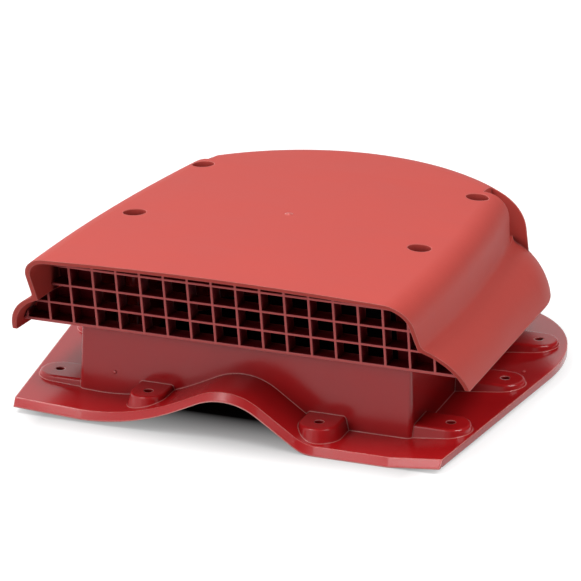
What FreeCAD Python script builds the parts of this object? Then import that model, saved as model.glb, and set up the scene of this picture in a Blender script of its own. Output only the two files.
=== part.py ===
import FreeCAD, Part
import math
import os
import Sketcher

# Roof tile vent: a waved base with a collar, an egg-crate grille and a moulded hood held by four screws.
# Millimetres and degrees. X is across the roof, +Y up the slope, +Z away from the roof.
# Lengths along Y are counted from the grille's foot, and the finished pieces are then moved to the origin.

SIZES = {
    "origin_setback": 109.5,
    "wall_thickness": 3.0,
    "round_clearance": 0.3,
    # Wave of the base, which follows the roof sheet
    "wave_crest_height": 27.2,
    "wave_left_lift": 1.9,
    "wave_crest_radius": 40.0,
    "wave_left_flank_angle": 26.0,
    "wave_left_foot_radius": 150.0,
    "wave_right_flank_angle": 34.0,
    "wave_right_foot_radius": 22.0,
    "wave_right_pan_reach": 108.0,
    "wave_edge_reach": 170.0,
    "wave_edge_lift_left": 5.3,
    "wave_edge_lift_right": 6.6,
    # Flange
    "flange_plate_thickness": 3.0,
    "flange_rim_drop": 2.0,
    "flange_rim_width": 4.0,
    "flange_front_reach": 31.0,
    "flange_lip_run": 4.5,
    "flange_front_half_width": 141.5,
    "flange_flare_angle": 7.8,
    "flange_side_end": 128.0,
    "flange_corner_radius": 126.0,
    # Collar
    "collar_half_width": 112.4,
    "collar_front_setback": 4.6,
    "collar_back": 206.0,
    "collar_top_height": 52.0,
    "collar_draft_angle": 2.8,
    "collar_front_corner_radius": 4.0,
    "collar_back_corner_radius": 40.0,
    "screen_front": 26.0,
    # Screw bosses of the base
    "boss_end_radius": 16.0,
    "boss_draft_angle": 15.0,
    "boss_edge_radius": 2.0,
    "boss_root_depth": 8.0,
    "boss_hole_radius": 2.9,
    "boss_top_left": 12.1,
    "boss_top_right": 13.3,
    "front_boss_x": 131.8,
    "front_boss_y": 20.9,
    "side_boss_x": 141.0,
    "middle_boss_y": 103.0,
    "back_boss_y": 176.0,
    "tongue_x_left": 58.4,
    "tongue_x_right": 55.8,
    "tongue_setback": 8.4,
    "tongue_top_left": 18.4,
    "tongue_top_right": 13.9,
    # Hood shell
    "hood_tilt_angle": 2.7,
    "hood_datum_rise": 1.3,
    "hood_blank_front": 80.0,
    "lip_lean_angle": 36.4,
    "lip_foot": 5.6,
    "skirt_front_half_width": 156.0,
    "skirt_back_half_width": 146.0,
    "skirt_back": 271.0,
    "skirt_corner_radius": 105.0,
    "skirt_foot_drop": 6.8,
    "skirt_top_height": 26.5,
    "skirt_edge_radius": 40.0,
    "skirt_draft_angle": 2.0,
    "raised_half_width": 129.6,
    "raised_side_radius": 1400.0,
    "raised_stock": 30.0,
    "raised_corner_radius": 22.0,
    "raised_edge_radius": 17.0,
    "raised_draft_angle": 3.0,
    "valley_radius": 6.0,
    "crown_height": 62.3,
    "crown_radius": 2000.0,
    "crown_rise_angle": 0.5,
    "dome_fall_angle": 0.3,
    "dome_radius": 160.5,
    "dome_set_in": 2.5,
    "dome_length": 81.0,
    "dome_gap": 18.0,
    "dome_edge_radius": 30.0,
    "dome_draft_angle": 6.0,
    "neck_margin": 1.0,
    "neck_overlap": 1.0,
    # Screw wells of the hood, their posts and screws
    "well_x": 96.0,
    "well_front_y": 59.5,
    "well_back_setback": 13.0,
    "well_radius": 7.5,
    "well_wall": 2.5,
    "well_floor_height": 48.0,
    "well_floor_thickness": 4.0,
    "post_radius": 6.5,
    "rib_thickness": 5.0,
    "rib_headroom": 6.0,
    "shank_radius": 2.1,
    "shank_length": 22.0,
    "pilot_tip_clearance": 6.0,
    "head_radius": 4.8,
    "head_height": 3.2,
    "recess_width": 1.2,
    "recess_reach": 5.2,
    "recess_depth": 1.6,
    # Grille
    "grille_column_pitch": 16.0,
    "grille_row_height": 13.45,
    "grille_bar_thickness": 1.5,
    "grille_rim_thickness": 2.0,
    "grille_bar_depth": 12.0,
    "grille_lean_angle": 10.4,
    "grille_clearance": 0.8,
}

doc = FreeCAD.newDocument("roof_tile_vent")
X, Y, Z = FreeCAD.Vector(1, 0, 0), FreeCAD.Vector(0, 1, 0), FreeCAD.Vector(0, 0, 1)
LEVEL = FreeCAD.Rotation()
UPRIGHT = FreeCAD.Rotation(X, 90)
SIDEWAYS = FreeCAD.Rotation(FreeCAD.Vector(1, 1, 1), 120)


class Size:
    """A number kept together with the sheet expression that gives it."""

    def __init__(self, number, text):
        self.number = number
        self.text = text

    def __add__(self, other):
        other = size(other)
        return Size(self.number + other.number, "(%s + %s)" % (self.text, other.text))

    def __sub__(self, other):
        other = size(other)
        return Size(self.number - other.number, "(%s - %s)" % (self.text, other.text))

    def __mul__(self, other):
        other = size(other)
        return Size(self.number * other.number, "(%s * %s)" % (self.text, other.text))

    def __truediv__(self, other):
        other = size(other)
        return Size(self.number / other.number, "(%s / %s)" % (self.text, other.text))

    def __neg__(self):
        return Size(-self.number, "(0 - %s)" % self.text)


def size(amount):
    if isinstance(amount, Size):
        return amount
    return Size(float(amount), "%r" % float(amount) if amount >= 0 else "(0 - %r)" % -float(amount))


def sine(angle):
    return Size(math.sin(math.radians(angle.number)), "sin(%s * 1 deg)" % angle.text)


def cosine(angle):
    return Size(math.cos(math.radians(angle.number)), "cos(%s * 1 deg)" % angle.text)


def tangent(angle):
    return Size(math.tan(math.radians(angle.number)), "tan(%s * 1 deg)" % angle.text)


def root(amount):
    return Size(math.sqrt(amount.number), "sqrt(%s)" % amount.text)


class Dimensions:
    """Each driving size as an attribute, written in the sheet under its own alias."""

    def __init__(self, sizes):
        sheet = doc.addObject("Spreadsheet::Sheet", "dim")
        for row, (alias, number) in enumerate(sizes.items(), start=1):
            sheet.set("A%d" % row, alias)
            sheet.set("B%d" % row, repr(number))
            sheet.setAlias("B%d" % row, alias)
            setattr(self, alias, Size(number, "dim." + alias))


dim = Dimensions(SIZES)
doc.recompute()
wall = dim.wall_thickness
hood_seat = dim.collar_top_height + dim.hood_datum_rise
raised_back = dim.skirt_back - dim.dome_length
dome_front = raised_back + dim.dome_gap
dome_centre = dim.skirt_back - dim.dome_set_in - dim.dome_radius
well_back_y = raised_back - dim.well_back_setback


def ring(sketch, points):
    """Close a loop through (x, y) points; a third entry is the radius of the arc to the next point,
    positive where the loop bulges to the right of its travel."""
    count = len(points)
    first = sketch.GeometryCount
    heads = []
    for i, point in enumerate(points):
        start = FreeCAD.Vector(size(point[0]).number, size(point[1]).number, 0)
        after = points[(i + 1) % count]
        end = FreeCAD.Vector(size(after[0]).number, size(after[1]).number, 0)
        turn = size(point[2]).number if len(point) == 3 else 0.0
        heads.append(2 if turn < 0 else 1)
        if turn == 0.0:
            sketch.addGeometry(Part.LineSegment(start, end), False)
            continue
        if turn < 0:
            start, end = end, start
        chord = end - start
        left = FreeCAD.Vector(-chord.y, chord.x, 0)
        left.normalize()
        centre = (start + end) * 0.5 + left * math.sqrt(max(turn * turn - chord.Length ** 2 / 4, 0.0))
        begin = math.atan2(start.y - centre.y, start.x - centre.x)
        finish = math.atan2(end.y - centre.y, end.x - centre.x)
        if finish < begin:
            finish += 2 * math.pi
        sketch.addGeometry(Part.ArcOfCircle(Part.Circle(centre, Z, abs(turn)), begin, finish), False)
    for i in range(count):
        j = (i + 1) % count
        sketch.addConstraint(Sketcher.Constraint("Coincident", first + i, 3 - heads[i], first + j, heads[j]))
    for i, point in enumerate(points):
        for kind, amount in (("DistanceX", size(point[0])), ("DistanceY", size(point[1]))):
            place = Sketcher.Constraint(kind, -1, 1, first + i, heads[i], amount.number)
            k = sketch.addConstraint(place)
            sketch.setExpression("Constraints[%d]" % k, amount.text)
        if len(point) == 3:
            bend = size(point[2])
            k = sketch.addConstraint(Sketcher.Constraint("Radius", first + i, abs(bend.number)))
            sketch.setExpression("Constraints[%d]" % k, "abs(%s)" % bend.text)


def free_sketch(name, points, rotation=LEVEL):
    sketch = doc.addObject("Sketcher::SketchObject", name)
    sketch.Placement = FreeCAD.Placement(FreeCAD.Vector(), rotation)
    ring(sketch, points)
    return sketch


def extruded(name, points, rotation, direction, start, end, taper=None):
    """Stretch a closed outline from start to end along a direction."""
    solid = doc.addObject("Part::Extrusion", name)
    solid.Base = free_sketch(name + "_outline", points, rotation)
    solid.DirMode = "Custom"
    solid.Dir = direction
    solid.Solid = True
    solid.setExpression("LengthFwd", (size(end) - size(start)).text)
    if taper is not None:
        solid.setExpression("TaperAngle", taper.text)
    axis = "xyz"[[abs(direction.x), abs(direction.y), abs(direction.z)].index(1.0)]
    solid.setExpression("Placement.Base." + axis, size(start).text)
    return solid


def placed(piece, x, y, z):
    for axis, amount in zip("xyz", (x, y, z)):
        piece.setExpression("Placement.Base." + axis, size(amount).text)
    return piece


def cylinder(name, radius, height, x, y, z):
    rod = doc.addObject("Part::Cylinder", name)
    rod.setExpression("Radius", size(radius).text)
    rod.setExpression("Height", size(height).text)
    return placed(rod, x, y, z)


def box(name, length, width, height, x, y, z):
    block = doc.addObject("Part::Box", name)
    block.setExpression("Length", size(length).text)
    block.setExpression("Width", size(width).text)
    block.setExpression("Height", size(height).text)
    return placed(block, x, y, z)


def fused(name, pieces):
    union = doc.addObject("Part::MultiFuse", name)
    union.Shapes = pieces
    return union


def cut(name, base, tool):
    remainder = doc.addObject("Part::Cut", name)
    remainder.Base = base
    remainder.Tool = tool
    return remainder


def common(name, pieces):
    shared = doc.addObject("Part::MultiCommon", name)
    shared.Shapes = pieces
    return shared


def tilted(piece):
    """Lean a piece with the hood, whose datum is above the grille's foot and whose back is lower."""
    piece.Placement = FreeCAD.Placement(FreeCAD.Vector(), FreeCAD.Rotation(-X, dim.hood_tilt_angle.number))
    piece.setExpression("Placement.Rotation.Angle", dim.hood_tilt_angle.text)
    piece.setExpression("Placement.Base.z", hood_seat.text)
    return piece


def moved_to_origin(piece, label):
    piece.Label = label
    piece.setExpression("Placement.Base.y", (-dim.origin_setback).text)
    return piece


def body_plane(body, role):
    return [f for f in body.Origin.OriginFeatures if f.Role == role][0]


def body_sketch(body, name, role, points):
    sketch = body.newObject("Sketcher::SketchObject", name)
    sketch.AttachmentSupport = [(body_plane(body, role), "")]
    sketch.MapMode = "FlatFace"
    ring(sketch, points)
    return sketch


def pad(body, name, plan, foot, top, draft):
    """Raise a plan from a foot to a top, its sides drawn in by a draft."""
    sketch = body_sketch(body, name + "_plan", "XY_Plane", plan)
    sketch.setExpression("AttachmentOffset.Base.z", size(foot).text)
    block = body.newObject("PartDesign::Pad", name)
    block.Profile = sketch
    block.setExpression("Length", (size(top) - size(foot)).text)
    block.setExpression("TaperAngle", (-draft).text)
    doc.recompute()


def pocket(body, name, sketch, depth):
    """Cut an outline out of a body, as far to both sides of its plane as half the depth."""
    opening = body.newObject("PartDesign::Pocket", name)
    opening.Profile = sketch
    opening.Midplane = True
    opening.setExpression("Length", size(depth).text)
    doc.recompute()
    return opening


def soften(body, name, radius, wanted):
    """Round the edges that a test of the edge and its two faces picks out."""
    tip = body.Tip
    shape = tip.Shape
    picked = []
    for i, edge in enumerate(shape.Edges):
        if wanted(edge, shape.ancestorsOfType(edge, Part.Face)):
            picked.append("Edge%d" % (i + 1))
    soft = body.newObject("PartDesign::Fillet", name)
    soft.Base = (tip, picked)
    soft.setExpression("Radius", size(radius).text)
    doc.recompute()


# Wave that the base shares with the roof sheet
def wave(lift):
    """Points of the waved underside from left to right, raised by a lift."""
    top = dim.wave_crest_height
    left_lift = dim.wave_left_lift
    bend = dim.wave_crest_radius
    left_bend = dim.wave_left_foot_radius
    right_bend = dim.wave_right_foot_radius
    left_sine, left_drop = sine(dim.wave_left_flank_angle), size(1) - cosine(dim.wave_left_flank_angle)
    right_sine, right_drop = sine(dim.wave_right_flank_angle), size(1) - cosine(dim.wave_right_flank_angle)
    left_fall = top - left_lift - (bend + left_bend) * left_drop
    left_foot = -((bend + left_bend) * left_sine + left_fall / tangent(dim.wave_left_flank_angle))
    right_fall = top - (bend + right_bend) * right_drop
    right_foot = (bend + right_bend) * right_sine + right_fall / tangent(dim.wave_right_flank_angle)
    points = [
        (-dim.wave_edge_reach, dim.wave_edge_lift_left),
        (left_foot, left_lift, left_bend),
        (left_foot + left_bend * left_sine, left_lift + left_bend * left_drop),
        (-(bend * left_sine), top - bend * left_drop, -bend),
        (bend * right_sine, top - bend * right_drop),
        (right_foot - right_bend * right_sine, right_bend * right_drop, right_bend),
        (right_foot, size(0)),
        (dim.wave_right_pan_reach, size(0)),
        (dim.wave_edge_reach, dim.wave_edge_lift_right),
    ]
    return [(p[0], p[1] + lift) + tuple(p[2:]) for p in points]


def wave_band(low, high):
    """Closed outline between two lifts of the wave."""
    under, over = wave(size(low)), wave(size(high))
    back = []
    for i in range(len(over) - 1, -1, -1):
        bend = over[i - 1][2:] if i > 0 else ()
        back.append((over[i][0], over[i][1]) + tuple(-b for b in bend))
    return under + back


# Flange of the base
plate_top = dim.flange_rim_drop + dim.flange_plate_thickness
flare = dim.flange_flare_angle
flange_wide = dim.flange_front_half_width + (dim.flange_front_reach + dim.flange_side_end) * tangent(flare)
corner_x = flange_wide - dim.flange_corner_radius * cosine(flare)
flange_back = dim.flange_side_end + dim.flange_corner_radius * sine(flare) + dim.flange_corner_radius
tall = hood_seat + dim.crown_height


def flange_outline(inset):
    """Plan of the flange, its sides spreading up the slope into round back corners."""
    step = size(inset)
    front = -dim.flange_front_reach + step
    near = dim.flange_front_half_width + step * tangent(flare) - step / cosine(flare)
    wide = flange_wide - step * cosine(flare)
    side = dim.flange_side_end + step * sine(flare)
    bend = dim.flange_corner_radius - step
    back = flange_back - step
    return [(-near, front), (near, front), (wide, side, bend), (corner_x, back), (-corner_x, back, bend),
            (-wide, side)]


def roof_below(name, lift):
    """Everything under the wave, lowered by a lift."""
    floor = (dim.wave_edge_reach, -tall)
    return extruded(name, wave(size(lift)) + [floor, (-floor[0], floor[1])], UPRIGHT, Y,
                    -dim.flange_front_reach * 2, flange_back * 2)


plan = extruded("flange_plan", flange_outline(0), LEVEL, Z, -tall, tall)
plan_inside = extruded("flange_plan_inside", flange_outline(dim.flange_rim_width), LEVEL, Z, -tall, tall)
sheet_front = dim.flange_lip_run - dim.flange_front_reach
sheet_outline = wave_band(dim.flange_rim_drop, plate_top)
sheet_band = extruded("flange_sheet", sheet_outline, UPRIGHT, Y, sheet_front, flange_back)
rim_band = extruded("rim_sheet", wave_band(0, plate_top), UPRIGHT, Y, sheet_front, flange_back)
lip_band = doc.addObject("Part::Extrusion", "lip_sheet")
lip_band.Base = free_sketch("lip_outline", sheet_outline, UPRIGHT)
lip_band.DirMode = "Custom"
lip_band.Dir = FreeCAD.Vector(0, -dim.flange_lip_run.number, -plate_top.number)
lip_band.Solid = True
lip_band.setExpression("Dir.y", (-dim.flange_lip_run).text)
lip_band.setExpression("Dir.z", (-plate_top).text)
lip_slant = root(dim.flange_lip_run * dim.flange_lip_run + plate_top * plate_top)
lip_band.setExpression("LengthFwd", lip_slant.text)
lip_band.setExpression("Placement.Base.y", sheet_front.text)
rim_ring = cut("rim_ring", rim_band, plan_inside)
lip = cut("lip", lip_band, roof_below("roof_under_lip", 0))
flange = common("flange", [fused("flange_sheets", [sheet_band, rim_ring, lip]), plan])


# Collar of the base
def collar_outline(inset):
    half = dim.collar_half_width - size(inset)
    front = dim.collar_front_setback + size(inset)
    back = dim.collar_back - size(inset)
    near = dim.collar_front_corner_radius
    far = dim.collar_back_corner_radius - size(inset)
    return [(-half + near, front), (half - near, front, near), (half, front + near), (half, back - far, far),
            (half - far, back), (-half + far, back, far), (-half, back - far), (-half, front + near, near)]


collar_top, collar_draft = dim.collar_top_height, -dim.collar_draft_angle
collar = extruded("collar_outside", collar_outline(0), LEVEL, Z, 0, collar_top, collar_draft)
duct = extruded("collar_inside", collar_outline(wall), LEVEL, Z, 0, collar_top, collar_draft)


# Screw bosses that grow out of the collar
def tongue(name, x, y, across, top):
    """Boss with a round end; across is +1 or -1 for the right and left sides, 0 for the front."""
    r = dim.boss_end_radius
    side_root = dim.collar_half_width - dim.boss_root_depth
    front_root = dim.collar_front_setback + dim.boss_root_depth
    if across > 0:
        points = [(side_root, y - r), (x, y - r, r), (x + r, y, r), (x, y + r), (side_root, y + r)]
    elif across < 0:
        points = [(-side_root, y - r), (-side_root, y + r), (x, y + r, r), (x - r, y, r), (x, y - r)]
    else:
        points = [(x - r, y, r), (x, y - r, r), (x + r, y), (x + r, front_root), (x - r, front_root)]
    body = doc.addObject("PartDesign::Body", name)
    pad(body, name + "_pad", points, size(0), top, dim.boss_draft_angle)
    crown = body.Tip.Shape.BoundBox.ZMax
    soften(body, name + "_edge", dim.boss_edge_radius, lambda edge, faces: edge.BoundBox.ZMin > crown - 0.01)
    return body


side_spots = [(dim.front_boss_x, dim.front_boss_y), (dim.side_boss_x, dim.middle_boss_y),
              (dim.side_boss_x, dim.back_boss_y)]
bosses = []
holes = []
for across, tag, top in ((-1, "left", dim.boss_top_left), (1, "right", dim.boss_top_right)):
    for i, (x, y) in enumerate(side_spots):
        name = "side_boss_%d_%s" % (i + 1, tag)
        bosses.append(tongue(name, x * across, y, across, top))
        holes.append(cylinder(name + "_hole", dim.boss_hole_radius, tall * 2, x * across, y, -tall))
for x, tag, top in ((-dim.tongue_x_left, "left", dim.tongue_top_left),
                    (dim.tongue_x_right, "right", dim.tongue_top_right)):
    name = "front_tongue_" + tag
    bosses.append(tongue(name, x, -dim.tongue_setback, 0, top))
    holes.append(cylinder(name + "_hole", dim.boss_hole_radius, tall * 2, x, -dim.tongue_setback, -tall))

# Posts inside the collar that carry the hood
post_top = dim.well_floor_height - dim.well_floor_thickness
post_foot = -tall
pilot_floor = dim.well_floor_height - dim.shank_length - dim.pilot_tip_clearance
shank_way = dim.shank_radius + dim.round_clearance
rib_outside = dim.collar_half_width - wall / 2
posts = []
pilots = []
ribs = []
for x in (-dim.well_x, dim.well_x):
    for y in (dim.well_front_y, well_back_y):
        tag = "%d" % (len(posts) + 1)
        posts.append(cylinder("post_" + tag, dim.post_radius, post_top - post_foot, x, y, post_foot))
        pilots.append(cylinder("pilot_" + tag, shank_way, post_top - pilot_floor + wall, x, y, pilot_floor))
        ribs.append(box("rib_" + tag, rib_outside - dim.well_x, dim.rib_thickness,
                        dim.collar_top_height - dim.rib_headroom, x if x.number > 0 else -rib_outside,
                        y - dim.rib_thickness / 2, 0))
tower = tilted(cut("tower", fused("post_set", posts), fused("pilot_set", pilots)))
rib_set = common("rib_set", [fused("rib_blocks", ribs), collar])
shell = cut("collar_wall", collar, duct)
upper = fused("base_upper", [cut("bosses_outside", fused("boss_set", bosses), duct), shell, tower, rib_set])
upper_trimmed = cut("base_upper_trimmed", upper, roof_below("roof_under_sheet", dim.flange_rim_drop))
# Hood blanks: skirt and raised part, then the dome behind them
crown_stock = dim.crown_height + dim.skirt_back * sine(dim.crown_rise_angle)


def crowned(body, name, step, axis, angle):
    """Shape the top of a body to the hood's crown, an arch that leans about the raised part's back."""
    bend = dim.crown_radius
    reach = dim.skirt_front_half_width * 2
    low = root(bend * bend - reach * reach) - bend
    sketch = body_sketch(body, name + "_arch", "XZ_Plane",
                         [(-reach, tall), (-reach, low, -bend), (reach, low), (reach, tall)])
    sketch.AttachmentOffset = FreeCAD.Placement(FreeCAD.Vector(), FreeCAD.Rotation(axis, angle.number))
    sketch.setExpression("AttachmentOffset.Rotation.Angle", angle.text)
    sketch.setExpression("AttachmentOffset.Base.y", (dim.crown_height - step).text)
    sketch.setExpression("AttachmentOffset.Base.z", (-raised_back).text)
    pocket(body, name, sketch, tall * 8)


def round_top(body, name, radius):
    """Round the upper rim of a body, but not its front."""
    peak = max(body.Tip.Shape.Faces, key=lambda f: f.CenterOfMass.z)
    rim = [e for e in peak.Edges if e.BoundBox.YMax > peak.BoundBox.YMin + 1]
    soften(body, name, radius, lambda edge, faces: any(edge.isSame(r) for r in rim))


def tapered_plan(front_half, back_half, front, back, corner):
    """Plan that narrows towards the back and ends in round corners."""
    run = back - front
    slip = front_half - back_half
    slant = root(run * run + slip * slip)
    reach = corner * (run / slant) / (size(1) + slip / slant)
    side_x = back_half + reach * slip / slant
    side_y = back - reach * run / slant
    return [(-front_half, front), (front_half, front), (side_x, side_y, corner), (back_half - reach, back),
            (-back_half + reach, back, corner), (-side_x, side_y)]


def bowed_plan(half, bend, front, back, corner):
    """Plan whose long sides are shallow arcs that run into round back corners."""
    centre = half - bend
    rest = bend - corner
    corner_y = back - corner
    reach = root(rest * rest - corner_y * corner_y)
    side = (centre + reach * bend / rest, corner_y * bend / rest)
    front_x = centre + root(bend * bend - front * front)
    return [(-front_x, front), (front_x, front, bend), side + (corner,), (centre + reach, back),
            (-(centre + reach), back, corner), (-side[0], side[1], bend)]


def front_blank(tag, step, valley):
    """Skirt with its wide round edge, and the raised part that rises out of it."""
    front = -dim.hood_blank_front
    foot = -dim.skirt_foot_drop - dim.skirt_edge_radius
    skirt_top = dim.skirt_top_height - step
    body = doc.addObject("PartDesign::Body", tag + "_front")
    plan = tapered_plan(dim.skirt_front_half_width - step, dim.skirt_back_half_width - step, front,
                        dim.skirt_back - step, dim.skirt_corner_radius - step)
    pad(body, tag + "_skirt", plan, foot, skirt_top, dim.skirt_draft_angle)
    round_top(body, tag + "_skirt_edge", dim.skirt_edge_radius - step)
    raised_end = raised_back + dim.raised_stock - step
    plan = bowed_plan(dim.raised_half_width - step, dim.raised_side_radius - step, front - wall, raised_end,
                      dim.raised_corner_radius - step)
    pad(body, tag + "_raised", plan, size(0), crown_stock, dim.raised_draft_angle)
    crowned(body, tag + "_raised_crown", step, X, dim.crown_rise_angle)
    round_top(body, tag + "_raised_edge", dim.raised_edge_radius - step)
    if valley:
        def meets_skirt(edge, faces):
            heights = sorted(f.BoundBox.ZMax for f in faces)
            seam = heights[0] < skirt_top.number + 0.5 and heights[1] > skirt_top.number + 5
            return seam and edge.BoundBox.YMax > front.number + 1 and edge.BoundBox.ZMin > 1
        soften(body, tag + "_valley", dim.valley_radius, meets_skirt)
    half, back = dim.skirt_front_half_width, raised_back - step
    end = raised_end + dim.raised_corner_radius
    sketch = body_sketch(body, tag + "_raised_end", "XY_Plane",
                         [(-half, back), (half, back), (half, end), (-half, end)])
    sketch.setExpression("AttachmentOffset.Base.z", skirt_top.text)
    wall_cut = pocket(body, tag + "_raised_back_wall", sketch, tall)
    wall_cut.Midplane = False
    wall_cut.Reversed = True
    doc.recompute()
    return body


def neck_half_width():
    """Half of the dome's level top, as wide as it is behind the raised part, less a margin."""
    draft = dim.dome_draft_angle
    level = dim.dome_radius - dim.crown_height * tangent(draft)
    level = level - dim.dome_edge_radius * (size(1) - sine(draft)) / cosine(draft)
    away = raised_back - dome_centre
    return root(level * level - away * away) - dim.neck_margin


def dome_blank(tag, step):
    """Round dome at the back, cut off upright behind the raised part but for the neck that joins them."""
    radius = dim.dome_radius - step
    chord = dome_front - dim.dome_edge_radius
    half = root(radius * radius - (chord - dome_centre) * (chord - dome_centre))
    body = doc.addObject("PartDesign::Body", tag + "_dome")
    back = dome_centre + radius
    plan = [(-half, chord), (half, chord, radius), (size(0), back, radius)]
    pad(body, tag + "_dome_block", plan, size(0), crown_stock, dim.dome_draft_angle)
    crowned(body, tag + "_dome_crown", step, -X, dim.dome_fall_angle)
    round_top(body, tag + "_dome_edge", dim.dome_edge_radius - step)
    ahead = dome_front + step
    neck = neck_half_width() - step
    start = raised_back - step - dim.neck_overlap
    gap_plan = [(-radius, size(0)), (radius, size(0)), (radius, ahead), (neck, ahead), (neck, start),
                (-neck, start), (-neck, ahead), (-radius, ahead)]
    sketch = body_sketch(body, tag + "_dome_face_plan", "XY_Plane", gap_plan)
    pocket(body, tag + "_dome_face", sketch, tall * 2)
    return body


def hood_blank(tag, inset, valley=False):
    """The hood's form, stepped inwards by an inset."""
    step = size(inset)
    return fused(tag + "_blank", [front_blank(tag, step, valley), dome_blank(tag, step)])


outer = hood_blank("outer", 0, True)
core = hood_blank("core", wall)
room = tilted(hood_blank("room", wall + dim.grille_clearance))
doc.recompute()

# Screen that carries the collar's sides and back up inside the hood, then the finished base
top_inset = dim.collar_top_height * tangent(dim.collar_draft_angle)
screen_foot, screen_top = collar_top - wall, collar_top + tall
screen_block = extruded("screen_outside", collar_outline(top_inset), LEVEL, Z, screen_foot, screen_top)
screen_duct = extruded("screen_inside", collar_outline(top_inset + wall), LEVEL, Z, screen_foot, screen_top)
screen_gap = box("screen_gap", tall * 4, dim.screen_front + tall, tall * 3, -tall * 2, -tall, 0)
screen_wall = cut("screen_wall", screen_block, fused("screen_openings", [screen_duct, screen_gap]))
well_room = []
for x in (-dim.well_x, dim.well_x):
    for y in (dim.well_front_y, well_back_y):
        name = "well_room_%d" % (len(well_room) + 1)
        reach = dim.well_radius + dim.well_wall + dim.grille_clearance
        well_room.append(cylinder(name, reach, tall, x, y, post_top - dim.grille_clearance))
screen_trimmed = common("screen_trimmed", [screen_wall, room])
screen = cut("screen", screen_trimmed, tilted(fused("well_rooms", well_room)))
solid_base = fused("base_solid", [cut("flange_open", flange, duct), upper_trimmed, screen])
base = moved_to_origin(cut("base", solid_base, fused("base_holes", holes)), "base")

# Hood: the shell between two blanks, with screw wells, a leaning front and an open underside
wells = []
well_bores = []
screw_ways = []
for x in (-dim.well_x, dim.well_x):
    for y in (dim.well_front_y, well_back_y):
        tag = "%d" % (len(wells) + 1)
        wells.append(cylinder("well_" + tag, dim.well_radius + dim.well_wall, tall, x, y, post_top))
        well_bores.append(cylinder("well_bore_" + tag, dim.well_radius, tall, x, y, dim.well_floor_height))
        screw_ways.append(cylinder("screw_way_" + tag, shank_way, dim.well_floor_thickness * 2, x, y,
                                   post_top - dim.well_floor_thickness / 2))
hollow = cut("hood_hollow", core, fused("wells", wells))
shell_hood = cut("hood_shell", outer, hollow)
far = dim.hood_blank_front * 2
lean = tangent(dim.lip_lean_angle)
foot = -dim.skirt_foot_drop
front_cut = extruded("lip_cut", [(-far, foot - far), (-dim.lip_foot + far * lean, foot - far),
                                 (-dim.lip_foot - far * lean, foot + far), (-far * 2, foot + far)],
                     SIDEWAYS, X, -far * 2, far * 2)
underside = box("hood_underside", far * 4, far * 4, far, -far * 2, -far, foot - far)
hood = cut("hood", shell_hood, fused("hood_openings", [front_cut, underside] + well_bores + screw_ways))
moved_to_origin(tilted(hood), "hood")

# Screws that hold the hood, one in each well
screws = []
for x in (-dim.well_x, dim.well_x):
    for y in (dim.well_front_y, well_back_y):
        tag = "%d" % (len(screws) + 1)
        head = cylinder("screw_head_" + tag, dim.head_radius, dim.head_height, x, y, dim.well_floor_height)
        shank = cylinder("screw_shank_" + tag, dim.shank_radius, dim.shank_length, x, y,
                         dim.well_floor_height - dim.shank_length)
        slot_floor = dim.well_floor_height + dim.head_height - dim.recess_depth
        slots = [box("screw_slot_x_" + tag, dim.recess_reach, dim.recess_width, dim.head_height,
                     x - dim.recess_reach / 2, y - dim.recess_width / 2, slot_floor),
                 box("screw_slot_y_" + tag, dim.recess_width, dim.recess_reach, dim.head_height,
                     x - dim.recess_width / 2, y - dim.recess_reach / 2, slot_floor)]
        screws.append(cut("screw_" + tag, fused("screw_body_" + tag, [head, shank]),
                          fused("screw_recess_" + tag, slots)))
hood_screws = doc.addObject("Part::Compound", "hood_screws")
hood_screws.Links = screws
moved_to_origin(tilted(hood_screws), "hood_screws")

# Grille: a leaning slab opened cell by cell and trimmed to the room inside the hood
crate = doc.addObject("PartDesign::Body", "grille_crate")
rise = dim.crown_height
fall = rise * tangent(dim.grille_lean_angle)
low, high = dim.collar_top_height, dim.collar_top_height + rise
slab_sketch = body_sketch(crate, "grille_side", "YZ_Plane",
                          [(size(0), low), (dim.grille_bar_depth, low), (dim.grille_bar_depth - fall, high),
                           (-fall, high)])
slab = crate.newObject("PartDesign::Pad", "grille_slab")
slab.Profile = slab_sketch
slab.setExpression("Length", (dim.skirt_front_half_width * 2).text)
slab.Midplane = True
doc.recompute()
pitch = dim.grille_column_pitch
bar = dim.grille_bar_thickness
columns = 2 * math.ceil(dim.skirt_front_half_width.number / pitch.number)
rows = math.ceil(rise.number / dim.grille_row_height.number)
left = -(pitch * (columns / 2)) + bar / 2
right = left + pitch - bar
column_sketch = crate.newObject("Sketcher::SketchObject", "grille_column_plan")
column_sketch.AttachmentSupport = [(body_plane(crate, "XZ_Plane"), "")]
column_sketch.MapMode = "FlatFace"
for i in range(rows):
    sill = hood_seat + dim.grille_row_height * i + bar / 2
    if i == 0:
        sill = dim.collar_top_height + dim.grille_rim_thickness
    head = hood_seat + dim.grille_row_height * (i + 1) - bar / 2
    ring(column_sketch, [(left, sill), (right, sill), (right, head), (left, head)])
column = pocket(crate, "grille_column", column_sketch, tall * 2)
cells = crate.newObject("PartDesign::LinearPattern", "grille_cells")
cells.Originals = [column]
cells.Direction = (column_sketch, ["H_Axis"])
cells.setExpression("Length", (pitch * (columns - 1)).text)
cells.Occurrences = columns
crate.Tip = cells
grille = moved_to_origin(common("grille", [crate, room]), "grille")

doc.recompute()
for item in doc.Objects:
    if "Invalid" in item.State or "Error" in item.State:
        raise RuntimeError("%s did not build: %s" % (item.Name, item.State))

os.makedirs("parts", exist_ok=True)
for node in (base, grille, hood, hood_screws):
    shape = node.Shape
    if shape.isNull() or not shape.isValid():
        raise RuntimeError(node.Label + " has no sound shape")
    print(node.Label, "solids", len(shape.Solids), "volume", round(shape.Volume), shape.BoundBox)
    shape.exportStep("parts/%s.step" % node.Label)
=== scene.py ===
import bmesh
import bpy
import math
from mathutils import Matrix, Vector
from mathutils.bvhtree import BVHTree


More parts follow.
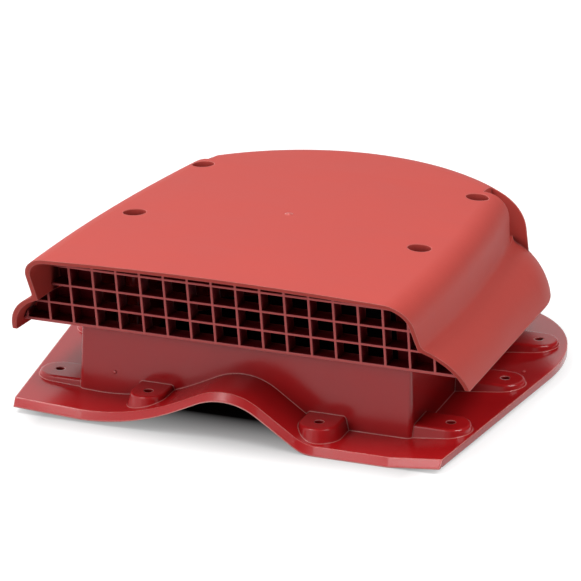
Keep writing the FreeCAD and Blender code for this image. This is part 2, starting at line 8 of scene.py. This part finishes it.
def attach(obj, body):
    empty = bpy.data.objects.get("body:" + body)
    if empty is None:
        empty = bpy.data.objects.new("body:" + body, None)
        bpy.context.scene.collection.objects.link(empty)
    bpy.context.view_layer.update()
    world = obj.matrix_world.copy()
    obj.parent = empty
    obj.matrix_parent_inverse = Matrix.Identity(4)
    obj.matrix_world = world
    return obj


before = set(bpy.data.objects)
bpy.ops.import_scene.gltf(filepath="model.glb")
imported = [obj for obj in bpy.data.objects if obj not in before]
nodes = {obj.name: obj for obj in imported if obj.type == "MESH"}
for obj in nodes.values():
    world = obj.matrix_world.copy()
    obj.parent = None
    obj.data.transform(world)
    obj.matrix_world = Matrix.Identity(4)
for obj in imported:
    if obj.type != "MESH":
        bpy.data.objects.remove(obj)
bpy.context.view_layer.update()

# Sizes and places are metres and angles are degrees, and the lens and its sensor are millimetres
VENT_CENTRE = Vector((0.0337, -0.1095, 0.0946))
CAMERA_AZIMUTH = 20.58
CAMERA_ELEVATION = 20.52
CAMERA_DISTANCE = 2.280
CAMERA_LENS = 230.0
CAMERA_SENSOR = 36.0

# Mottle of the plastic: noise scales, and the share that each has in its tone and roughness
CLOUD_SCALE = 26.0
SPECK_SCALE = 700.0
STREAK_SCALE = 3.0
STREAK_STRETCH = (6.0, 40.0, 6.0)
CLOUD_TONE = 0.6
STREAK_TONE = 0.3
SPECK_TONE = 0.1
CLOUD_ROUGHNESS = 0.14
STREAK_ROUGHNESS = 0.06
MIDDLE_OF_NOISE = 0.5

# Edges of the plastic, lightened partly by wear and partly by painted highlight, its hollows, darkened by
# painted shade, and how many probes find them
SOFT_EDGE = 0.0013
PROBES = 8
EDGE_GAIN = 5.0
SPECK_WORN_AND_HIGHLIT = 0.6
CLOUD_WORN_AND_HIGHLIT = 0.8
EDGE_LINE_IN_PAINTED_SHADE = 0.2
PAINTED_SHADE_RAMP = 0.4

# Grain that the mould leaves, and the slow waves under it
GRAIN_SCALE = 1300.0
SAG_SCALE = 45.0
GRAIN_SHARE = 0.5
GRAIN_DEPTH = 0.0005
PLASTIC_IOR = 1.5

# End baffles, on the back of the grille
GRILLE_BACK = -0.0975
GRILLE_FOOT = 0.052
GRILLE_LEAN = 10.4
BAFFLE_THICKNESS = 0.001
BAFFLE_INNER = 0.100
BAFFLE_FOOT = 0.0522
BAFFLE_TOP = 0.090
BAFFLE_OUTER = 0.124
BAFFLE_EDGE = 0.0002
BAFFLE_EDGE_STEPS = 2
WING_ARC_CENTRE = (0.1113, 0.0389)
WING_ARC_RADIUS = 0.037
WING_ARC_STEPS = 8

# Marks of the mould: radii and heights of their profiles, and where the lines that find their places start
NUB_PROFILE = [(0.0, -0.0003), (0.0013, -0.0003), (0.0012, 0.0003), (0.0008, 0.0007), (0.0, 0.0008)]
GATE_PROFILE = [(0.0, -0.0004), (0.0030, -0.0004), (0.0028, 0.0001), (0.0020, 0.0001),
                (0.0016, -0.0001), (0.0009, 0.0001), (0.0008, 0.0006), (0.0, 0.0008)]
GATE_START = (-0.0011, -0.0195, 0.2)
COLLAR_NUB_START = (-0.0871, -0.135, 0.0216)
FLANGE_NUB_START = (0.146, 0.018, 0.045)
DOWN = (0, 0, -1)
BACKWARD = (0, 1, 0)
MARK_STEPS = 24
WELD_DISTANCE = 0.00001

# Floor, and the outline of the flange, under which the floor has painted shade that fades out in front of
# it
FLOOR_SIZE = 30.0
FLOOR_GLOW = 0.62
FLOOR_PALE = (0.5, 0.5, 0.5, 1)
# Painted shade: the floor colour under the flange
FLOOR_PAINTED_SHADE = (0.02, 0.02, 0.02, 1)
FLANGE_FRONT = -0.168
FLANGE_CORNER = 0.035
FLANGE_ROUND = 0.124
FLANGE_HALF = 0.161
FLANGE_FLARE = 0.137
PAINTED_SHADE_FADE = 0.02
PAINTED_SHADE_FRONT_FADE = 0.07

# Light of the room, from its dim right to its bright left
ROOM_WHITE = 1.0
ROOM_DIM = 0.06
ROOM_BRIGHT = 1.06
ROOM_MIDDLE = 0.45
ROOM_SLOPE = 1.1
WHITE = (1, 1, 1, 1)
BLACK = (0, 0, 0, 1)


class Wire:
    """One output socket among the nodes of a finish, which takes part in Python sums."""

    def __init__(self, board, socket):
        self.board = board
        self.socket = socket

    def maths(self, operation, *amounts):
        return self.board.add("ShaderNodeMath", {"operation": operation}, dict(enumerate(amounts)))

    def __add__(self, other):
        return self.maths("ADD", self, other)

    __radd__ = __add__

    def __sub__(self, other):
        return self.maths("SUBTRACT", self, other)

    def __rsub__(self, other):
        return self.maths("SUBTRACT", other, self)

    def __mul__(self, other):
        return self.maths("MULTIPLY", self, other)

    __rmul__ = __mul__

    def __truediv__(self, other):
        return self.maths("DIVIDE", self, other)

    def __rtruediv__(self, other):
        return self.maths("DIVIDE", other, self)

    def clipped(self):
        return self.board.add("ShaderNodeClamp", {}, {"Value": self})

    def without_sign(self):
        return self.maths("ABSOLUTE", self)

    def square_root(self):
        return self.maths("SQRT", self)

    def at_least(self, lowest):
        return self.maths("MAXIMUM", self, lowest)


class Board:
    """The nodes of one finish, or of the light all round."""

    def __init__(self, owner):
        owner.use_nodes = True
        self.tree = owner.node_tree
        self.tree.nodes.clear()

    def add(self, kind, settings=None, inputs=None, output=0):
        """Make a node of a kind, change its settings, feed its inputs and return one of its outputs."""
        node = self.tree.nodes.new(kind)
        for name, setting in (settings or {}).items():
            setattr(node, name, setting)
        for name, amount in (inputs or {}).items():
            if isinstance(amount, Wire):
                self.tree.links.new(amount.socket, node.inputs[name])
            else:
                node.inputs[name].default_value = amount
        if output is None:
            return None
        return Wire(self, node.outputs[output])

    def place(self):
        return self.add("ShaderNodeTexCoord", output="Object")

    def part_of(self, vector, axis):
        """One of the three numbers of a vector."""
        return self.add("ShaderNodeSeparateXYZ", {}, {0: vector}, axis)

    def stretched(self, place, factors):
        return self.add("ShaderNodeVectorMath", {"operation": "MULTIPLY"}, {0: place, 1: factors})

    def alike(self, one, other):
        """One where two directions are the same, and less as they turn apart."""
        return self.add("ShaderNodeVectorMath", {"operation": "DOT_PRODUCT"}, {0: one, 1: other}, "Value")

    def noise(self, place, scale, detail=2.0):
        return self.add("ShaderNodeTexNoise", {}, {"Vector": place, "Scale": scale, "Detail": detail})

    def blend(self, share, one, other):
        """Colour between two colours."""
        return self.add("ShaderNodeMix", {"data_type": "RGBA"}, {0: share, 6: one, 7: other}, output=2)

    def mix(self, share, one, other):
        """Surface or light between two others."""
        return self.add("ShaderNodeMixShader", {}, {0: share, 1: one, 2: other})


def moulded_plastic(name, deep, pale, worn_and_highlit, painted_shade, roughness, shine, grain, worn_and_highlit_share, reach, least):
    """Through-coloured plastic with a faint mottle, the grain of its mould, edges lightened by wear and
    painted highlight, and painted shade in its hollows.

    Deep and pale are the tones that its mottle runs between. The edge colour is partly wear and partly
    painted highlight, and the hollow colour is painted shade.
    Walls within the reach make a hollow, whose painted shade is full at or below the least openness.
    """
    material = bpy.data.materials.new(name)
    board = Board(material)
    place = board.place()
    cloud = board.noise(place, CLOUD_SCALE, detail=4.0)
    speck = board.noise(place, SPECK_SCALE)
    streak = board.noise(board.stretched(place, STREAK_STRETCH), STREAK_SCALE, detail=3.0)
    soft = board.add("ShaderNodeBevel", {"samples": PROBES}, {"Radius": SOFT_EDGE})
    flat = board.add("ShaderNodeNewGeometry", output="Normal")
    turn = 1.0 - board.alike(soft, flat)
    # Edge lines: partly wear and partly painted highlight
    worn_and_highlit_edge = (turn * EDGE_GAIN).clipped() * (speck * SPECK_WORN_AND_HIGHLIT + cloud * CLOUD_WORN_AND_HIGHLIT)
    body = board.blend(cloud * CLOUD_TONE + streak * STREAK_TONE + speck * SPECK_TONE, deep, pale)
    # Painted shade: where walls lie within the reach, the colour darkens towards the hollow colour
    openness = board.add("ShaderNodeAmbientOcclusion", {"samples": PROBES}, {"Distance": reach}, "AO")
    body_in_painted_shade = board.blend(((openness - least) / PAINTED_SHADE_RAMP).clipped(), painted_shade, body)
    # The edge lines of wear and painted highlight stay in part even in painted shade
    in_the_open = openness * (1.0 - EDGE_LINE_IN_PAINTED_SHADE) + EDGE_LINE_IN_PAINTED_SHADE
    colour = board.blend((worn_and_highlit_edge * worn_and_highlit_share * in_the_open).clipped(), body_in_painted_shade, worn_and_highlit)
    skin = board.noise(place, GRAIN_SCALE)
    sag = board.noise(place, SAG_SCALE, detail=1.0)
    bump = board.add("ShaderNodeBump", {}, {
        "Strength": grain,
        "Distance": GRAIN_DEPTH,
        "Height": skin * GRAIN_SHARE + sag * (1.0 - GRAIN_SHARE),
        "Normal": soft,
    })
    patchy = (cloud - MIDDLE_OF_NOISE) * CLOUD_ROUGHNESS
    streaky = (streak - MIDDLE_OF_NOISE) * STREAK_ROUGHNESS
    surface = board.add("ShaderNodeBsdfPrincipled", {}, {
        "Base Color": colour,
        "Roughness": roughness + patchy + streaky,
        "IOR": PLASTIC_IOR,
        "Specular IOR Level": shine,
        "Normal": bump,
    })
    board.add("ShaderNodeOutputMaterial", {}, {"Surface": surface}, None)
    return material


# The hollow colour of each plastic is painted shade, and its rubbed edge colour is partly wear and partly
# painted highlight
hood_plastic = moulded_plastic(
    "hood_plastic",
    deep=(0.42, 0.052, 0.043, 1), pale=(0.50, 0.074, 0.060, 1),
    worn_and_highlit=(0.74, 0.27, 0.24, 1), painted_shade=(0.055, 0.001, 0.002, 1),
    roughness=0.50, shine=0.08, grain=0.14, worn_and_highlit_share=0.8, reach=0.014, least=0.24)
base_plastic = moulded_plastic(
    "base_plastic",
    deep=(0.37, 0.006, 0.009, 1), pale=(0.43, 0.012, 0.013, 1),
    worn_and_highlit=(0.88, 0.44, 0.40, 1), painted_shade=(0.14, 0.003, 0.004, 1),
    roughness=0.19, shine=0.45, grain=0.05, worn_and_highlit_share=1.0, reach=0.03, least=0.2)
grille_plastic = moulded_plastic(
    "grille_plastic",
    deep=(0.52, 0.105, 0.105, 1), pale=(0.58, 0.13, 0.125, 1),
    worn_and_highlit=(0.66, 0.24, 0.23, 1), painted_shade=(0.10, 0.001, 0.004, 1),
    roughness=0.45, shine=0.12, grain=0.06, worn_and_highlit_share=0.4, reach=0.016, least=0.5)
screw_coating = moulded_plastic(
    "screw_coating",
    deep=(0.34, 0.012, 0.014, 1), pale=(0.40, 0.02, 0.02, 1),
    worn_and_highlit=(0.80, 0.35, 0.35, 1), painted_shade=(0.16, 0.002, 0.003, 1),
    roughness=0.18, shine=0.5, grain=0.04, worn_and_highlit_share=0.9, reach=0.004, least=0.1)
hood_mark = moulded_plastic(
    "hood_mark",
    deep=(0.53, 0.09, 0.075, 1), pale=(0.58, 0.11, 0.095, 1),
    worn_and_highlit=(0.68, 0.20, 0.18, 1), painted_shade=(0.50, 0.08, 0.07, 1),
    roughness=0.35, shine=0.4, grain=0.05, worn_and_highlit_share=0.6, reach=0.002, least=0.0)
base_mark = moulded_plastic(
    "base_mark",
    deep=(0.45, 0.05, 0.05, 1), pale=(0.50, 0.07, 0.07, 1),
    worn_and_highlit=(0.70, 0.30, 0.28, 1), painted_shade=(0.42, 0.04, 0.04, 1),
    roughness=0.15, shine=0.5, grain=0.03, worn_and_highlit_share=0.6, reach=0.002, least=0.0)

FINISHES = {
    "hood": hood_plastic,
    "base": base_plastic,
    "grille": grille_plastic,
    "hood_screws": screw_coating,
}
for node, finish in FINISHES.items():
    skin_of_node = nodes[node].data
    skin_of_node.materials.clear()
    skin_of_node.materials.append(finish)


def on_skin(node, start, way):
    """Where a straight line first meets a moulding, and the way that its skin faces there."""
    solid = nodes[node]
    points = [solid.matrix_world @ vertex.co for vertex in solid.data.vertices]
    tree = BVHTree.FromPolygons(points, [face.vertices for face in solid.data.polygons])
    spot, facing, _, _ = tree.ray_cast(Vector(start), Vector(way))
    return spot, facing


def piece_from(name, shape, finish):
    mesh = bpy.data.meshes.new(name)
    shape.to_mesh(mesh)
    shape.free()
    mesh.materials.append(finish)
    piece = bpy.data.objects.new(name, mesh)
    bpy.context.collection.objects.link(piece)
    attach(piece, "root")
    return piece


def turned_mark(name, profile, spot, facing, finish, slot):
    """Small round mark of the mould, turned from a profile of radii and heights, standing on a skin."""
    shape = bmesh.new()
    line = [shape.verts.new((radius, 0, height)) for radius, height in profile]
    edges = [shape.edges.new(pair) for pair in zip(line, line[1:])]
    bmesh.ops.spin(
        shape, geom=line + edges, cent=(0, 0, 0), axis=(0, 0, 1), angle=math.tau, steps=MARK_STEPS)
    bmesh.ops.remove_doubles(shape, verts=shape.verts, dist=WELD_DISTANCE)
    bmesh.ops.recalc_face_normals(shape, faces=shape.faces)
    for face in shape.faces:
        face.smooth = True
    mark = piece_from(name, shape, finish)
    mark.location = spot
    mark.rotation_euler = facing.to_track_quat("Z", "Y").to_euler()


def baffle_outline():
    """Outline of the right end baffle across and up, with its outer side rounded under the wing."""
    centre_x, centre_z = WING_ARC_CENTRE
    first = math.asin((BAFFLE_FOOT - centre_z) / WING_ARC_RADIUS)
    last = math.acos((BAFFLE_OUTER - centre_x) / WING_ARC_RADIUS)
    outline = [(BAFFLE_INNER, BAFFLE_FOOT)]
    for step in range(WING_ARC_STEPS + 1):
        angle = first + (last - first) * step / WING_ARC_STEPS
        outline.append((centre_x + WING_ARC_RADIUS * math.cos(angle),
                        centre_z + WING_ARC_RADIUS * math.sin(angle)))
    outline.append((BAFFLE_OUTER, BAFFLE_TOP))
    outline.append((BAFFLE_INNER, BAFFLE_TOP))
    return outline


def end_baffle(name, side):
    """Thin plate that lies on the back of the grille's end cells and leans with the grille."""
    shape = bmesh.new()
    lean = math.tan(math.radians(GRILLE_LEAN))
    corners = [(side * x, GRILLE_BACK - (z - GRILLE_FOOT) * lean, z) for x, z in baffle_outline()]
    face = shape.faces.new([shape.verts.new(corner) for corner in corners])
    back = bmesh.ops.extrude_face_region(shape, geom=[face])
    moved = [item for item in back["geom"] if isinstance(item, bmesh.types.BMVert)]
    bmesh.ops.translate(shape, verts=moved, vec=(0, BAFFLE_THICKNESS, 0))
    bmesh.ops.bevel(
        shape, geom=shape.edges[:], offset=BAFFLE_EDGE, segments=BAFFLE_EDGE_STEPS, affect="EDGES")
    bmesh.ops.recalc_face_normals(shape, faces=shape.faces)
    piece_from(name, shape, grille_plastic)


end_baffle("end_baffle_left", -1)
end_baffle("end_baffle_right", 1)
turned_mark("gate_mark", GATE_PROFILE, *on_skin("hood", GATE_START, DOWN), hood_mark, "hood_plastic")
for nub, start, way in (("collar_nub", COLLAR_NUB_START, BACKWARD), ("flange_nub", FLANGE_NUB_START, DOWN)):
    turned_mark(nub, NUB_PROFILE, *on_skin("base", start, way), base_mark, "base_plastic")


def floor_outside_painted_shade(board):
    """One on the open floor and nothing in the painted shade under the flange, whose rear corners are round
    and sides flare; the painted shade fades out in front of the flange.
    """
    place = board.place()
    along = board.part_of(place, "Y")
    across = board.part_of(place, "X").without_sign()
    past_side = (across - FLANGE_CORNER).at_least(0.0)
    past_back = (along - FLANGE_CORNER).at_least(0.0)
    from_corner = (past_side * past_side + past_back * past_back).square_root()
    in_round = ((FLANGE_ROUND - from_corner) / PAINTED_SHADE_FADE).clipped()
    in_sides = ((FLANGE_HALF + along * FLANGE_FLARE - across) / PAINTED_SHADE_FADE).clipped()
    in_front = ((along - FLANGE_FRONT) / PAINTED_SHADE_FRONT_FADE).clipped()
    return 1.0 - in_round * in_sides * in_front


def studio_floor():
    """White floor that keeps the shadow of the vent, with painted shade under its flange, where it is dark
    and its glow stops.
    """
    material = bpy.data.materials.new("studio_floor")
    board = Board(material)
    seen = board.add("ShaderNodeLightPath", output="Is Camera Ray")
    for ray in ("Is Glossy Ray", "Is Transmission Ray"):
        seen = seen + board.add("ShaderNodeLightPath", output=ray)
    # Painted shade under the flange: a dark colour there, and no glow
    outside_painted_shade = floor_outside_painted_shade(board)
    deep = board.add("ShaderNodeBsdfDiffuse", {}, {"Color": FLOOR_PAINTED_SHADE})
    pale = board.add("ShaderNodeBsdfDiffuse", {}, {"Color": FLOOR_PALE})
    matt = board.mix(outside_painted_shade, deep, pale)
    glow = board.add("ShaderNodeEmission", {}, {"Color": WHITE, "Strength": FLOOR_GLOW})
    dark = board.add("ShaderNodeEmission", {}, {"Color": BLACK, "Strength": 0.0})
    extra = board.mix(seen * outside_painted_shade, dark, glow)
    both = board.add("ShaderNodeAddShader", {}, {0: matt, 1: extra})
    board.add("ShaderNodeOutputMaterial", {}, {"Surface": both}, None)
    bpy.ops.mesh.primitive_plane_add(size=FLOOR_SIZE)
    floor = bpy.context.object
    floor.name = "studio_floor"
    floor.data.materials.append(material)


def studio_world():
    """Room that is white to the camera and lights the vent more from the left than from the right."""
    world = bpy.data.worlds.new("studio_world")
    bpy.context.scene.world = world
    board = Board(world)
    seen = board.add("ShaderNodeLightPath", output="Is Camera Ray")
    rightward = board.part_of(board.add("ShaderNodeTexCoord", output="Generated"), "X")
    leftness = (ROOM_MIDDLE - rightward * ROOM_SLOPE).clipped()
    white, dim, bright = (
        board.add("ShaderNodeBackground", {}, {"Color": WHITE, "Strength": strength})
        for strength in (ROOM_WHITE, ROOM_DIM, ROOM_BRIGHT))
    both = board.mix(seen, board.mix(leftness, dim, bright), white)
    board.add("ShaderNodeOutputWorld", {}, {"Surface": both}, None)


def aim(thing, target):
    thing.rotation_euler = (Vector(target) - thing.location).to_track_quat("-Z", "Y").to_euler()


def softbox(name, spot, target, width, height, watts):
    lamp = bpy.data.lights.new(name, "AREA")
    lamp.shape = "RECTANGLE"
    lamp.size = width
    lamp.size_y = height
    lamp.energy = watts
    thing = bpy.data.objects.new(name, lamp)
    bpy.context.collection.objects.link(thing)
    thing.location = spot
    aim(thing, target)


def studio_camera():
    azimuth = math.radians(CAMERA_AZIMUTH)
    elevation = math.radians(CAMERA_ELEVATION)
    away = Vector((math.sin(azimuth) * math.cos(elevation), -math.cos(azimuth) * math.cos(elevation),
                   math.sin(elevation)))
    lens = bpy.data.cameras.new("camera")
    lens.lens = CAMERA_LENS
    lens.sensor_width = CAMERA_SENSOR
    camera = bpy.data.objects.new("camera", lens)
    bpy.context.collection.objects.link(camera)
    camera.location = VENT_CENTRE + away * CAMERA_DISTANCE
    aim(camera, VENT_CENTRE)
    bpy.context.scene.camera = camera


studio_floor()
studio_world()
softbox("top_softbox", spot=(-0.60, -0.58, 1.58), target=(0, 0, 0), width=0.6, height=0.6, watts=14.0)
softbox("front_softbox", spot=(-0.9, -1.7, 1.4), target=(0, 0, 0.05), width=1.2, height=0.8, watts=6.5)
softbox("right_softbox", spot=(1.2, -0.4, 1.5), target=(0, 0, 0.05), width=1.0, height=1.0, watts=24.0)
studio_camera()
bpy.context.scene.view_settings.view_transform = "Standard"
